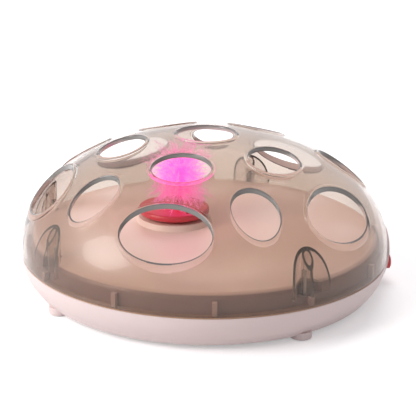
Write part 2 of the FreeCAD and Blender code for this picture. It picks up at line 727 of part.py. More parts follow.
def make_cells():
    cells, plates = [], []
    middle = (int(value("cell_count")) - 1) / 2
    for i in range(int(value("cell_count"))):
        x = "cell_bay_start + bay_length / 2 + (%s) * cell_pitch" % (i - middle)
        way = 1 if i % 2 == 0 else -1
        can = cylinder("cell_can%d" % i, "cell_radius", "cell_length - 1.2", x,
                       "%d * (cell_length / 2 - 1.2)" % way,
                       "cell_height", 90 if way > 0 else -90, (1, 0, 0))
        nub = cylinder("cell_nub%d" % i, "2.7", "1.4", x, "%d * cell_length / 2" % way,
                       "cell_height", 90 if way > 0 else -90, (1, 0, 0))
        cells.append(fuse("cell%d" % i, can, nub))
        for side in (1, -1):
            y = "bay_width / 2 - 0.6" if side > 0 else "-bay_width / 2 + 0.1"
            plate = box("contact_plate%d_%d" % (i, side + 1), "contact_side", "contact_thick",
                        "contact_side", "%s - contact_side / 2" % x, y,
                        "cell_height - contact_side / 2")
            bump = doc.addObject("Part::Cone", "contact_bump%d_%d" % (i, side + 1))
            bind(bump, Radius1="3.2", Radius2="1.6",
                 Height="(bay_width - cell_length) / 2 - 0.7")
            by = "bay_width / 2 - 0.5" if side > 0 else "-bay_width / 2 + 0.5"
            place(bump, x, by, "cell_height", 90 if side > 0 else -90, (1, 0, 0))
            plates.append(fuse("contact%d_%d" % (i, side + 1), plate, bump))
    return [group("battery_cells", *cells), group("battery_contacts", *plates)]


def make_door():
    length = "bay_length + 2 * door_margin - 0.6"
    plate = box("door_plate", length, "bay_width + 2 * door_margin - 2 * fit_gap", "door_thick",
                "cell_bay_start - door_margin", "-(bay_width / 2 + door_margin - fit_gap)", "floor_gap")
    parts = [plate]
    for side in (1, -1):
        edge = "bay_width / 2 + door_margin - fit_gap"
        y = "%s - 0.5" % edge if side > 0 else "-(%s + tongue_deep)" % edge
        for i, start in enumerate(tongue_starts()):
            parts.append(box("door_tongue%d_%d" % (side + 1, i), "tongue_length", "tongue_deep + 0.5",
                             "tongue_thick", start, y, "floor_gap + door_thick - tongue_thick"))
    grips = []
    for i in range(5):
        grips.append(centred_box("door_grip%d" % i, "1.2", "18", "1.6",
                                 "cell_bay_start + bay_length - %d" % (2 + 3 * i), 0, "floor_gap - 1"))
    return cut("battery_door", fuse("door_fused", *parts), *grips)


# Drive: motor, two-stage gear train, and the shaft that carries the rotor.

def plate_posts():
    return [("plate_centre + %d * post_x" % sx, "%d * post_y" % sy)
            for sx in (1, -1) for sy in (1, -1)]


def gear_plate(name, low):
    flat = centred_box(name + "_flat", "plate_length", "plate_width", "plate_thick", "plate_centre", 0, low)
    return round_corners(name + "_plate", flat, "plate_corner")


def make_gearbox():
    frame_holes = [cylinder("frame_motor_hole", "3.2", "through / 2", "motor_centre", 0, "frame_height - through / 4"),
                   cylinder("frame_idler_seat", "pin_radius", "plate_thick", "idler_centre", 0,
                            "frame_height + 0.6"),
                   cylinder("frame_shaft_seat", "shaft_radius + running_gap", "plate_thick",
                            "output_centre", 0, "frame_height + 0.6")]
    cover_parts = [gear_plate("cover", "cover_low")]
    screws, frame_screw_holes, cover_holes = [], [], []
    for i, (x, y) in enumerate(plate_posts()):
        frame_screw_holes.append(cylinder("frame_screw_hole%d" % i, "screw_hole", "through / 2", x, y,
                                          "frame_height - through / 4"))
        cover_parts.append(cylinder("cover_column%d" % i, "frame_post", "cover_low - plate_top + 0.1",
                                    x, y, "plate_top"))
        cover_holes.append(cylinder("cover_screw_hole%d" % i, "screw_hole", "1.5 * through", x, y, "plate_top - through / 4"))
        screws.append(screw("gearbox_screw%d" % i, "cover_top - frame_height + short_screw - 1.2", x, y,
                            "cover_top - 1.2", up=False))
        cover_holes.append(cylinder("cover_head_seat%d" % i, "screw_head + 0.2", "5", x, y,
                                    "cover_top - 1.2"))
    cover_parts.append(cylinder("cover_tower", "bush_radius + 2", "pedestal_face - tray_wall - 1 - cover_low",
                                "output_centre", 0, "cover_low"))
    cover_holes.append(cylinder("cover_bush_bore", "bush_radius", "1.5 * through", "output_centre", 0, "plate_top"))
    cover_holes.append(cylinder("cover_idler_seat", "pin_radius", "plate_thick", "idler_centre", 0,
                                "cover_low - 0.6"))
    frame = cut("gearbox_frame", gear_plate("frame", "frame_height"), *frame_holes, *frame_screw_holes)
    cover = cut("gearbox_cover", fuse("cover_fused", *cover_parts), *cover_holes)
    bush_top = "pedestal_face - tray_wall - 0.5"
    bush = cut("shaft_bush", cylinder("bush_blank", "bush_radius", "%s - cover_low" % bush_top,
                                      "output_centre", 0, "cover_low"),
               cylinder("bush_hole", "shaft_radius + running_gap", "2 * through", "output_centre", 0,
                        "cover_low - through / 2"))
    pin = cylinder("idler_pin", "pin_radius", "cover_low - frame_height + 0.4", "idler_centre", 0,
                   "frame_height + 0.8")
    return [frame, cover, bush, pin, group("gearbox_screws", *screws)]


def make_gears():
    output = gear_wheel("output_blank", "output_teeth", "pinion_face - axial_play - 0.3",
                        "output_centre", "output_low")
    output_gear = cut("output_gear", output,
                      cylinder("output_bore", "shaft_radius", "through", "output_centre", 0, "output_low - through / 4"))
    half = math.pi / value("pinion_teeth")
    small = gear_wheel("idler_small", "pinion_teeth", "pinion_face + 0.1", "idler_centre",
                       "pinion_low - 0.1", math.pi + half)
    large = gear_wheel("idler_large", "idler_teeth", "wheel_face", "idler_centre", "wheel_low")
    idler = cut("idler_gear", fuse("idler_pair", large, small),
                cylinder("idler_bore", "pin_radius + running_gap", "through", "idler_centre", 0,
                         "wheel_low - through / 4"))
    pinion = cut("motor_pinion",
                 gear_wheel("pinion_blank", "pinion_teeth", "wheel_face + axial_play", "motor_centre",
                            "wheel_low", math.pi + half),
                 cylinder("pinion_bore", "motor_shaft_radius", "through", "motor_centre", 0, "wheel_low - through / 4"))
    shaft = cylinder("output_shaft", "shaft_radius", "disc_top - 1.5 - (frame_height + 0.8)",
                     "output_centre", 0, "frame_height + 0.8")
    return [output_gear, idler, pinion, shaft]


def make_motor():
    low = "frame_height - motor_length - 0.1"
    round_can = cylinder("motor_round", "motor_radius", "motor_length", "motor_centre", 0, low)
    flats = centred_box("motor_flats_box", "motor_flats", "motor_radius * 2", "motor_length",
                        "motor_centre", 0, low)
    nose = cylinder("motor_nose", "3", "1.6", "motor_centre", 0, "frame_height - 0.2")
    tail = cylinder("motor_tail", "3.4", "0.4", "motor_centre", 0, "%s - 0.4" % low)
    bore = cylinder("motor_bore", "motor_shaft_radius + running_gap", "12", "motor_centre", 0,
                    "frame_height - 8")
    can = cut("drive_motor", fuse("motor_fused", common("motor_can", round_can, flats), nose, tail), bore)
    shaft = cylinder("motor_shaft", "motor_shaft_radius", "wheel_low + wheel_face - frame_height + 8",
                     "motor_centre", 0, "frame_height - 7.5")
    return [can, shaft]


# Rotor: the red disc on the output shaft, the wand in its socket and the feather on the wand.

def rotor_disc():
    """Disc with rounded edges, a hub below and sockets for the wand in its face."""
    blank = cylinder("disc_blank", "disc_radius", "disc_thick", "output_centre", 0, "disc_bottom")
    doc.recompute()
    rim = doc.addObject("Part::Fillet", "disc_rim")
    rim.Base = blank
    circles = [i for i, edge in enumerate(blank.Shape.Edges, start=1) if len(edge.Vertexes) == 1]
    rim.Edges = [(i, value("disc_edge"), value("disc_edge")) for i in circles]
    hub = cylinder("disc_hub_rod", "disc_hub", "disc_bottom - (pedestal_face - 1) + 0.5",
                   "output_centre", 0, "pedestal_face - 1")
    shaft_bore = cylinder("disc_bore", "shaft_radius", "through", "output_centre", 0, "disc_top - 1.5 - 20")
    sockets = []
    for i, angle in enumerate((180, 300, 60)):
        x = "output_centre + socket_ring * cos(%d)" % angle
        y = "socket_ring * sin(%d)" % angle
        sockets.append(cylinder("disc_socket%d" % i, "socket_radius", "3", x, y, "disc_top - 2.4"))
    wand_hole = cylinder("disc_wand_hole", "wand_radius", "5", "output_centre + wand_offset", 0,
                         "disc_top - 1.2")
    return cut("rotor_disc", fuse("disc_fused", rim, hub), shaft_bore, wand_hole, *sockets)


def make_feather():
    wand_x = "output_centre + wand_offset"
    wand = cylinder("feather_wand", "wand_radius", "plume_lift + plume_height * 0.7 + 1.2", wand_x, 0,
                    "disc_top - 1.2")
    ferrule = cut("wand_ferrule",
                  cone("ferrule_cone", "ferrule_radius", "ferrule_radius * 0.7", "ferrule_height", wand_x, 0,
                       "disc_top"),
                  cylinder("ferrule_bore", "wand_radius", "through", wand_x, 0, "disc_top - through / 4"))
    plume = doc.addObject("Part::Ellipsoid", "plume_oval")
    plume.Angle1 = -90
    plume.Angle2 = 90
    bind(plume, Radius1="plume_height / 2", Radius2="plume_radius", Radius3="plume_radius")
    place(plume, wand_x, 0, "disc_top + plume_lift + plume_height / 2")
    core = cylinder("plume_core", "ferrule_radius + 0.3", "ferrule_height + 0.3", wand_x, 0, "disc_top")
    stalk = cylinder("plume_stalk", "wand_radius", "plume_lift + plume_height * 0.7", wand_x, 0, "disc_top")
    return [wand, ferrule, cut("feather_plume", plume, core, stalk)]


# Circuit board, feet and screws.

def make_board():
    board = box("board_flat", "board_length", "board_width", "board_thick", "board_start",
                "-board_width / 2", "board_height")
    holes, screws = [], []
    for i, (sx, sy) in enumerate(((1, 1), (1, -1), (-1, 1), (-1, -1))):
        x = "board_start + board_length / 2 + %d * (board_length / 2 - board_margin)" % sx
        y = "%d * (board_width / 2 - board_margin)" % sy
        holes.append(cylinder("board_hole%d" % i, "screw_hole", "through / 2", x, y, "board_height - 4"))
        screws.append(screw("board_screw%d" % i, "5", x, y, "board_height + board_thick", up=False))
    top = "board_height + board_thick"
    mid_x = "board_start + board_length / 2"
    parts = [
        centred_box("board_chip", "7", "7", "1.4", mid_x, "-3", top),
        cylinder("board_capacitor", "3.2", "7", mid_x + " + 11", "9", top),
        cylinder("board_coil", "4", "4", mid_x + " - 11", "9", top),
        centred_box("board_socket_motor", "4.5", "7.5", "6", mid_x + " + 18", "-6", top),
        centred_box("board_socket_cells", "4.5", "7.5", "6", mid_x + " + 18", "6", top),
        centred_box("board_socket_switch", "7.5", "4.5", "6", mid_x + " - 4", "-20", top),
        centred_box("board_transistor", "3", "2", "1.2", mid_x + " + 8", "-12", top),
    ]
    return [cut("circuit_board", board, *holes), group("board_components", *parts),
            group("board_screws", *screws)]


def make_feet():
    pads, screws = [], []
    for i, angle in enumerate(POST_ANGLES):
        x, y = polar("foot_ring", angle)
        pads.append(cylinder("foot_pad%d" % i, "foot_pad_radius", "foot_pad_thick", x, y, "0"))
        sx, sy = polar("screw_ring", angle)
        screws.append(screw("housing_screw%d" % i, "screw_length", sx, sy, "screw_seat"))
    return [group("foot_pads", *pads), group("housing_screws", *screws)]


nodes = [make_tub(), make_tray(), make_dome(), make_pod(), make_button()]
nodes += make_switch() + make_cells() + [make_door()]
nodes += make_gearbox() + make_gears() + make_motor()
nodes += [rotor_disc()] + make_feather() + make_board() + make_feet()
doc.recompute()

failed = [item.Name for item in doc.Objects if "Invalid" in item.State or "Error" in item.State]
if failed:
    raise RuntimeError("not computed: %s" % failed)
for node in nodes:
    if node.Shape.isNull() or not node.Shape.isValid():
        raise RuntimeError("bad shape: %s" % node.Label)
os.makedirs("parts", exist_ok=True)
for node in nodes:
    node.Shape.exportStep("parts/%s.step" % node.Label)
    print(node.Label, len(node.Shape.Solids), round(node.Shape.Volume, 1))
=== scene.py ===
import math
import random

import bmesh
import bpy
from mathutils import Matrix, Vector
from mathutils.geometry import delaunay_2d_cdt


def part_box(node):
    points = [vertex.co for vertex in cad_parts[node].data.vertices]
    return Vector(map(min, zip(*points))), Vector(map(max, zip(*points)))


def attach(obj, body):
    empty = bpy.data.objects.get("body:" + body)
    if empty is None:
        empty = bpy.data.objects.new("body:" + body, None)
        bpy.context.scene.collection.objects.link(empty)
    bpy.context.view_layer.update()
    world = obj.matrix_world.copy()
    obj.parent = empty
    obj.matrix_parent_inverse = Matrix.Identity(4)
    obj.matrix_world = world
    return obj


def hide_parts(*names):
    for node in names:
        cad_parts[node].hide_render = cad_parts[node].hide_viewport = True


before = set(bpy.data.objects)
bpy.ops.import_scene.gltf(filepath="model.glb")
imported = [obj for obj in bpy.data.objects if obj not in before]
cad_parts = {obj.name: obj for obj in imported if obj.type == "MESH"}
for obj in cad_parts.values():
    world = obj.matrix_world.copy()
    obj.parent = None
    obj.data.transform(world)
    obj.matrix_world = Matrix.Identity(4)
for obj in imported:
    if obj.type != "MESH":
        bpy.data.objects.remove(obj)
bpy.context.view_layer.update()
bpy.context.scene.view_settings.view_transform = "Standard"


# Camera: it stands in front of the toy and a little above it, where the photograph was taken from.
# The lens is long, so the far side of the dome is nearly as large as the near side.

bpy.ops.object.camera_add(location=(-0.04368, -0.82514, 0.33359))
camera = bpy.context.object
camera.rotation_euler = [math.radians(a) for a in (71.2322, -0.7758, -2.8958)]
camera.data.lens = 110.296
camera.data.sensor_width = 36.0
bpy.context.scene.camera = camera


# Studio: a white paper floor that keeps the toy's shadow, a white backdrop, a large soft lamp at
# the left and another behind. Mirrored in the dome, the backdrop is white low down and grey above.

PAPER = (0.86, 0.85, 0.85, 1)
FLOOR_SIZE = 8.0
LIFT_NEAR, LIFT_FAR = 0.34, 0.9
LIFT_START, LIFT_END = 0.4, 1.4
ROOM_COLOUR, ROOM_STRENGTH = (0.98, 0.95, 1.0, 1), 0.44
BACKDROP_LOW, BACKDROP_HIGH = (1.0, 1.0, 1.0), (0.28, 0.27, 0.31)
BACKDROP_TURN = (0.50, 0.60)
SOFTBOXES = (("key", (-1.72, -0.62, 1.12), 36.0, 1.3, True),
             ("back", (0.2, 1.2, 1.6), 20.0, 1.4, False))


def nodes_of(material):
    """Empty the material and return its tree with an output."""
    material.use_nodes = True
    tree = material.node_tree
    tree.nodes.clear()
    return tree, tree.nodes.new("ShaderNodeOutputMaterial")


def add_node(tree, kind, settings=None, operation=None):
    """New shader node of a kind, with some of its sockets set."""
    added = tree.nodes.new("ShaderNode" + kind)
    if operation:
        added.operation = operation
    for socket, value in (settings or {}).items():
        added.inputs[socket].default_value = value
    return added


def ramp(tree, value, low, high, start=0.0, end=1.0):
    """Output that goes from start to end while a value goes from low to high."""
    slope = add_node(tree, "MapRange", {"From Min": low, "From Max": high,
                                        "To Min": start, "To Max": end})
    tree.links.new(value, slope.inputs["Value"])
    return slope.outputs["Result"]


def blend_colours(tree, share, first, second):
    """Output between two colours, each of them a colour or another node's output."""
    mix = tree.nodes.new("ShaderNodeMix")
    mix.data_type = "RGBA"
    tree.links.new(share, mix.inputs["Factor"])
    for socket, colour in (("A", first), ("B", second)):
        if isinstance(colour, tuple):
            mix.inputs[socket].default_value = (*colour, 1)
        else:
            tree.links.new(colour, mix.inputs[socket])
    return mix.outputs["Result"]


def choose_shader(tree, share, first, second):
    """Node that gives the first shader, or the second where the share is 1."""
    choice = add_node(tree, "MixShader")
    tree.links.new(share, choice.inputs[0])
    for number, shader in ((1, first), (2, second)):
        if shader:
            tree.links.new(shader.outputs[0], choice.inputs[number])
    return choice


def either_ray(tree, kinds):
    """Output that is 1 for any of some kinds of ray."""
    seen = add_node(tree, "LightPath")
    found = seen.outputs[kinds[0]]
    for kind in kinds[1:]:
        either = add_node(tree, "Math", operation="MAXIMUM")
        tree.links.new(found, either.inputs[0])
        tree.links.new(seen.outputs[kind], either.inputs[1])
        found = either.outputs[0]
    return found


STRAIGHT_LOOK = ("Is Camera Ray", "Is Transmission Ray", "Is Glossy Ray")

bpy.ops.mesh.primitive_plane_add(size=FLOOR_SIZE, location=(0, 0, 0))
floor = bpy.context.object
floor.name = "paper_floor"
paper = bpy.data.materials.new("white_paper")
tree, output = nodes_of(paper)
matte = add_node(tree, "BsdfDiffuse", {"Color": PAPER})
lift = add_node(tree, "Emission")
where = add_node(tree, "TexCoord")
from_toy = add_node(tree, "VectorMath", operation="LENGTH")
tree.links.new(where.outputs["Object"], from_toy.inputs[0])
whiten = ramp(tree, from_toy.outputs["Value"], LIFT_START, LIFT_END, LIFT_NEAR, LIFT_FAR)
tree.links.new(whiten, lift.inputs["Strength"])
lift_seen = choose_shader(tree, either_ray(tree, STRAIGHT_LOOK), None, lift)
both = add_node(tree, "AddShader")
tree.links.new(matte.outputs[0], both.inputs[0])
tree.links.new(lift_seen.outputs[0], both.inputs[1])
tree.links.new(both.outputs[0], output.inputs[0])
floor.data.materials.append(paper)

world = bpy.data.worlds.new("white_backdrop")
bpy.context.scene.world = world
world.use_nodes = True
tree = world.node_tree
tree.nodes.clear()
output = tree.nodes.new("ShaderNodeOutputWorld")
room = add_node(tree, "Background", {"Color": ROOM_COLOUR, "Strength": ROOM_STRENGTH})
backdrop = add_node(tree, "Background", {"Strength": 1.0})
facing = add_node(tree, "TexCoord")
split = add_node(tree, "SeparateXYZ")
tree.links.new(facing.outputs["Generated"], split.inputs[0])
overhead = ramp(tree, split.outputs["Z"], *BACKDROP_TURN)
tree.links.new(blend_colours(tree, overhead, BACKDROP_LOW, BACKDROP_HIGH), backdrop.inputs["Color"])
around = choose_shader(tree, either_ray(tree, STRAIGHT_LOOK), room, backdrop)
tree.links.new(around.outputs[0], output.inputs[0])

for name, place, energy, size, mirrored in SOFTBOXES:
    bpy.ops.object.light_add(type="AREA", location=place)
    lamp = bpy.context.object
    lamp.name = name + "_softbox"
    lamp.data.shape = "DISK"
    lamp.data.energy = energy
    lamp.data.size = size
    lamp.visible_glossy = mirrored
    lamp.rotation_euler = (Vector((0, 0, 0.05)) - Vector(place)).to_track_quat("-Z", "Y").to_euler()


# Tub: the lower half, a bowed wall of moulded cream plastic with a fine spark-eroded grain. Its
# feet, screw towers and drive posts are moulded on, and rubber pads are stuck under the feet.

TUB_CREAM = (0.76, 0.63, 0.61)

mould_grain = bpy.data.node_groups.new("mould_grain", "ShaderNodeTree")
for label, kind, start in (("Colour", "NodeSocketColor", (0.8, 0.8, 0.8, 1)),
                           ("Deeper Colour", "NodeSocketColor", (0.7, 0.7, 0.7, 1)),
                           ("Roughness", "NodeSocketFloat", 0.42),
                           ("Grain Size", "NodeSocketFloat", 900.0),
                           ("Grain Depth", "NodeSocketFloat", 0.04)):
    socket = mould_grain.interface.new_socket(label, in_out="INPUT", socket_type=kind)
    socket.default_value = start
for label, kind in (("Colour", "NodeSocketColor"), ("Roughness", "NodeSocketFloat"),
                    ("Normal", "NodeSocketVector")):
    mould_grain.interface.new_socket(label, in_out="OUTPUT", socket_type=kind)
given = mould_grain.nodes.new("NodeGroupInput")
made = mould_grain.nodes.new("NodeGroupOutput")
where = add_node(mould_grain, "TexCoord")
fine = add_node(mould_grain, "TexNoise", {"Detail": 3.0})
broad = add_node(mould_grain, "TexNoise", {"Scale": 14.0})
for texture in (fine, broad):
    mould_grain.links.new(where.outputs["Object"], texture.inputs["Vector"])
mould_grain.links.new(given.outputs["Grain Size"], fine.inputs["Scale"])
tone = blend_colours(mould_grain, broad.outputs["Fac"], given.outputs["Colour"],
                     given.outputs["Deeper Colour"])
sway = add_node(mould_grain, "Math", {1: 0.1}, operation="MULTIPLY_ADD")
settle = add_node(mould_grain, "Math", {1: 0.05}, operation="SUBTRACT")
bump = add_node(mould_grain, "Bump", {"Distance": 0.0004})
mould_grain.links.new(fine.outputs["Fac"], sway.inputs[0])
mould_grain.links.new(given.outputs["Roughness"], sway.inputs[2])
mould_grain.links.new(sway.outputs[0], settle.inputs[0])
mould_grain.links.new(given.outputs["Grain Depth"], bump.inputs["Strength"])
mould_grain.links.new(fine.outputs["Fac"], bump.inputs["Height"])
mould_grain.links.new(tone, made.inputs["Colour"])
mould_grain.links.new(settle.outputs[0], made.inputs["Roughness"])
mould_grain.links.new(bump.outputs["Normal"], made.inputs["Normal"])


def plastic(name, colour, roughness=0.42, grain=0.04, coat=0.0):
    """Moulded plastic: a fine grain in bump and roughness and a faint change of tone."""
    material = bpy.data.materials.new(name)
    tree, output = nodes_of(material)
    shade = add_node(tree, "BsdfPrincipled", {"Coat Weight": coat, "Coat Roughness": 0.12})
    grained = tree.nodes.new("ShaderNodeGroup")
    grained.node_tree = mould_grain
    grained.inputs["Colour"].default_value = (*colour, 1)
    grained.inputs["Deeper Colour"].default_value = (*[c * 0.97 for c in colour], 1)
    grained.inputs["Roughness"].default_value = roughness
    grained.inputs["Grain Size"].default_value = 900.0
    grained.inputs["Grain Depth"].default_value = grain
    tree.links.new(grained.outputs["Colour"], shade.inputs["Base Color"])
    tree.links.new(grained.outputs["Roughness"], shade.inputs["Roughness"])
    tree.links.new(grained.outputs["Normal"], shade.inputs["Normal"])
    tree.links.new(shade.outputs[0], output.inputs[0])
    return material


def finish_of(material):
    """The material's tree, its Principled shader, its output and what colours it now."""
    tree = material.node_tree
    shade = [n for n in tree.nodes if n.type == "BSDF_PRINCIPLED"][0]
    output = [n for n in tree.nodes if n.type == "OUTPUT_MATERIAL"][0]
    return tree, shade, output, shade.inputs["Base Color"].links[0].from_socket


def dress(node, material):
    """Give a CAD node its material."""
    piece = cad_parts[node]
    piece.data.materials.clear()
    piece.data.materials.append(material)


dress("base_shell", plastic("tub_cream", TUB_CREAM))
dress("foot_pads", plastic("pad_rubber", (0.20, 0.17, 0.165), roughness=0.7, grain=0.2))


# Tray: the crowned cream deck inside the dome. Below its shoulder its side is painted darker
# brown, a painted shade where the dome shades it, and its ribs a less dark painted shade. The
# edge of its flange shows between tub and dome as a thin tan line.

TRAY_CREAM = (0.90, 0.68, 0.60)
SIDE_PAINTED_SHADE = (0.33, 0.21, 0.19)
RIB_PAINTED_SHADE = (0.62, 0.46, 0.42)
SEAM_TAN = (0.40, 0.24, 0.15)
RIB_REACH = (0.1190, 0.1194)
SEAM_HEIGHT = (0.0256, 0.0258)
PAINTED_SHADE_TOP = (0.0366, 0.0376)

tray_cream = plastic("tray_cream", TRAY_CREAM, roughness=0.38)
tree, shade, output, moulded = finish_of(tray_cream)
where = add_node(tree, "TexCoord")
flat = add_node(tree, "VectorMath", {1: (1, 1, 0)}, operation="MULTIPLY")
reach = add_node(tree, "VectorMath", operation="LENGTH")
split = add_node(tree, "SeparateXYZ")
tree.links.new(where.outputs["Object"], flat.inputs[0])
tree.links.new(flat.outputs[0], reach.inputs[0])
tree.links.new(where.outputs["Object"], split.inputs[0])
at_rib = ramp(tree, reach.outputs["Value"], *RIB_REACH)
above_seam = ramp(tree, split.outputs["Z"], *SEAM_HEIGHT)
above_painted_shade = ramp(tree, split.outputs["Z"], *PAINTED_SHADE_TOP)
# Painted shade: the side below the shoulder is darkened, and the ribs less so.
painted_side_tone = blend_colours(tree, at_rib, SIDE_PAINTED_SHADE, RIB_PAINTED_SHADE)
low_colour = blend_colours(tree, above_seam, SEAM_TAN, painted_side_tone)
tree.links.new(blend_colours(tree, above_painted_shade, low_colour, moulded), shade.inputs["Base Color"])
dress("tray", tray_cream)


# Push button: a small glossy red plastic cap that slides in the pod's guide hole and presses the
# switch behind it.

dress("power_button", plastic("button_red", (0.62, 0.02, 0.03), roughness=0.28, coat=0.3))


# Dome: a thin moulded shell of clear smoked polycarbonate. A rounded bead runs round each of the
# sixteen upright paw holes, a short skirt stands on the tray, and the pod's arch is cut out of it.

DOME_RADIUS = 0.125
DOME_WALL = 0.0024
SKIRT_TOP = 0.0308
SKIRT_LOW = 0.0255
CROWN_HEIGHT = 0.0752
EDGE_ROUND = 0.0004

# A kind of hole is its turn from its row's line, the ring that its middle lies on, and its half
# sizes round the dome and along it. A row of large and upper holes and a row of small ones follow
# each other round the dome.
APEX_HOLE = 0.0198
BIG_HOLE = (6.2, 0.1034, 0.0289, 0.0142)
UPPER_HOLE = (3.5, 0.0561, 0.0193, 0.0153)
SMALL_HOLE = (5.0, 0.0934, 0.0151, 0.0158)
WIDE_ROWS = (45, 112.5, 180, 247.5, 315)
SMALL_ROWS = (0, 78.75, 146.25, 213.75, 281.25)
PAW_HOLES = [(0.0, 0.0, APEX_HOLE, APEX_HOLE)]
for rows, kinds in ((WIDE_ROWS, (BIG_HOLE, UPPER_HOLE)), (SMALL_ROWS, (SMALL_HOLE,))):
    for row in rows:
        for turn, ring, across, deep in kinds:
            PAW_HOLES.append((math.radians(row + turn), ring, across, deep))

# The net's rings round each hole, from its edge outwards, follow the bead's section.
BEAD_HEIGHT = 0.0011
BEAD_WIDTH = 0.0026
BEAD_ROUND = 0.0011
BEAD_LIP = 0.00012
BEAD_STEPS = (0.0, 0.00012, 0.0003, 0.0006, 0.001, 0.0016, 0.002, 0.0023, 0.0026, 0.00275,
              0.0034, 0.005)
EDGE_THINNING = 0.0007
THINNING_WIDTH = 0.0034
EDGE_LINE = 0.0005
HOLE_POINTS = 112

SHEET_EDGE = 0.1220
EDGE_COUNT = 288
EDGE_ROOM = 0.0006
NET_LEVELS = 45
NET_SPACING = 0.026
HOLE_ROOM = 0.0062


def hole_ring(angle, ring, across, deep, out, count):
    """Points at a distance outside a paw hole's edge, seen from above."""
    found = []
    for i in range(count):
        t = 2 * math.pi * i / count
        x, y = deep * math.cos(t), across * math.sin(t)
        nx, ny = math.cos(t) / deep, math.sin(t) / across
        size = math.hypot(nx, ny)
        x, y = ring + x + out * nx / size, y + out * ny / size
        found.append((x * math.cos(angle) - y * math.sin(angle),
                      x * math.sin(angle) + y * math.cos(angle)))
    return found


def bead_rise(out):
    """Height of the bead's rounded section at a distance from the hole's edge."""
    if out >= BEAD_WIDTH:
        return 0.0
    edge = min(out + BEAD_LIP, BEAD_WIDTH - out)
    round_part = min(1.0, edge / BEAD_ROUND)
    return BEAD_HEIGHT * math.sqrt(1 - (1 - round_part) ** 2)


def inner_rise(out):
    """How far the wall's inside rises near a hole, where the wall is drawn thinner."""
    share = max(0.0, 1 - out / THINNING_WIDTH)
    return EDGE_THINNING * share * share


def dome_point(x, y, wall, rise):
    """Point on the dome above x and y, moved out along the surface by the rise."""
    wide, tall = DOME_RADIUS - wall, CROWN_HEIGHT - wall
    z = tall * math.sqrt(max(0.0, 1 - (x * x + y * y) / wide ** 2))
    normal = Vector((x / wide ** 2, y / wide ** 2, z / tall ** 2)).normalized()
    return Vector((x, y, z + SKIRT_TOP)) + normal * rise


def spread(x, y):
    """Where a point of the dome lies on its sheet laid flat, so that the net stays even."""
    reach = math.hypot(x, y)
    if reach < 1e-9:
        return Vector((0.0, 0.0))
    share = math.asin(min(1.0, reach / DOME_RADIUS)) / reach
    return Vector((x * share, y * share))


def beside_hole(x, y, room):
    """True if a point lies in a paw hole or within some room of its edge."""
    for angle, ring, across, deep in PAW_HOLES:
        along = x * math.cos(angle) + y * math.sin(angle) - ring
        beside = -x * math.sin(angle) + y * math.cos(angle)
        if (along / (deep + room)) ** 2 + (beside / (across + room)) ** 2 < 1:
            return True
    return False


sheet_points, sheet_places, sheet_rises, sheet_edges = [], [], [], []


def add_point(x, y, rises):
    """One point of the net, with how far the dome's outside and inside rise there."""
    sheet_points.append(spread(x, y))
    sheet_places.append((x, y))
    sheet_rises.append(rises)


def add_ring(places, rises):
    """Closed ring of points and the edges that join them."""
    first = len(sheet_points)
    for x, y in places:
        add_point(x, y, rises)
    for i in range(len(places)):
        sheet_edges.append((first + i, first + (i + 1) % len(places)))


edge_turns = [2 * math.pi * i / EDGE_COUNT for i in range(EDGE_COUNT)]
add_ring([(SHEET_EDGE * math.cos(turn), SHEET_EDGE * math.sin(turn)) for turn in edge_turns],
         (0.0, 0.0))
for hole in PAW_HOLES:
    far_side = hole[1] + hole[3]
    for out in BEAD_STEPS:
        if far_side + out > SHEET_EDGE - EDGE_ROOM:
            out = SHEET_EDGE - EDGE_ROOM - hole[1] - hole[3]
            if out < BEAD_WIDTH + 0.0003:
                continue
        add_ring(hole_ring(*hole, out, HOLE_POINTS), (bead_rise(out), inner_rise(out)))

# Between the holes the net has plain points, level by level from the top down.
for level in range(1, NET_LEVELS + 1):
    lean = math.asin(SHEET_EDGE / DOME_RADIUS) * (level - 0.5) / NET_LEVELS
    reach = DOME_RADIUS * math.sin(lean)
    number = max(8, int(2 * math.pi * lean / NET_SPACING))
    for i in range(number):
        turn = 2 * math.pi * (i + 0.5 * (level % 2)) / number
        x, y = reach * math.cos(turn), reach * math.sin(turn)
        if reach < SHEET_EDGE - 0.0008 and not beside_hole(x, y, HOLE_ROOM):
            add_point(x, y, (0.0, 0.0))

flat_points, _, flat_faces, came_from, _, _ = delaunay_2d_cdt(
    sheet_points, sheet_edges, [], 0, 1e-7)
shell = bmesh.new()
outer_row, inner_row, places = [], [], []
for number, sources in enumerate(came_from):
    if sources:
        x, y = sheet_places[sources[0]]
        rise, inside_rise = sheet_rises[sources[0]]
    else:
        flat = flat_points[number]
        x, y = flat.x / flat.length * DOME_RADIUS * math.sin(flat.length), \
            flat.y / flat.length * DOME_RADIUS * math.sin(flat.length)
        rise, inside_rise = 0.0, 0.0
    places.append((x, y))
    outer_row.append(shell.verts.new(dome_point(x, y, 0.0, rise)))
    inner_row.append(shell.verts.new(dome_point(x, y, DOME_WALL, inside_rise)))
for face in flat_faces:
    middle_x = sum(places[i][0] for i in face) / len(face)
    middle_y = sum(places[i][1] for i in face) / len(face)
    if beside_hole(middle_x, middle_y, 0.0):
        continue
    outer_face = shell.faces.new([outer_row[i] for i in face])
    inner_face = shell.faces.new([inner_row[i] for i in reversed(face)])
    outer_face.smooth = inner_face.smooth = True
    if beside_hole(middle_x, middle_y, EDGE_LINE):
        outer_face.material_index = inner_face.material_index = 2
bmesh.ops.delete(shell, geom=[v for v in shell.verts if not v.link_faces], context="VERTS")

# The two skins are joined by a cut wall round each hole and by the skirt below.
partner = {a: b for a, b in zip(outer_row, inner_row) if a.is_valid and b.is_valid}
rim_edges = [e for e in shell.edges
             if e.is_boundary and e.verts[0] in partner and e.verts[1] in partner]
skirt_edges = [e for e in rim_edges
               if math.hypot(*e.verts[0].co.xy) > SHEET_EDGE - 0.0002
               and math.hypot(*e.verts[1].co.xy) > SHEET_EDGE - 0.0002]
for edge in rim_edges:
    if edge in skirt_edges:
        continue
    a, b = edge.verts
    if edge.link_loops[0].vert is not a:
        a, b = b, a
    shell.faces.new((b, a, partner[a], partner[b])).material_index = 1

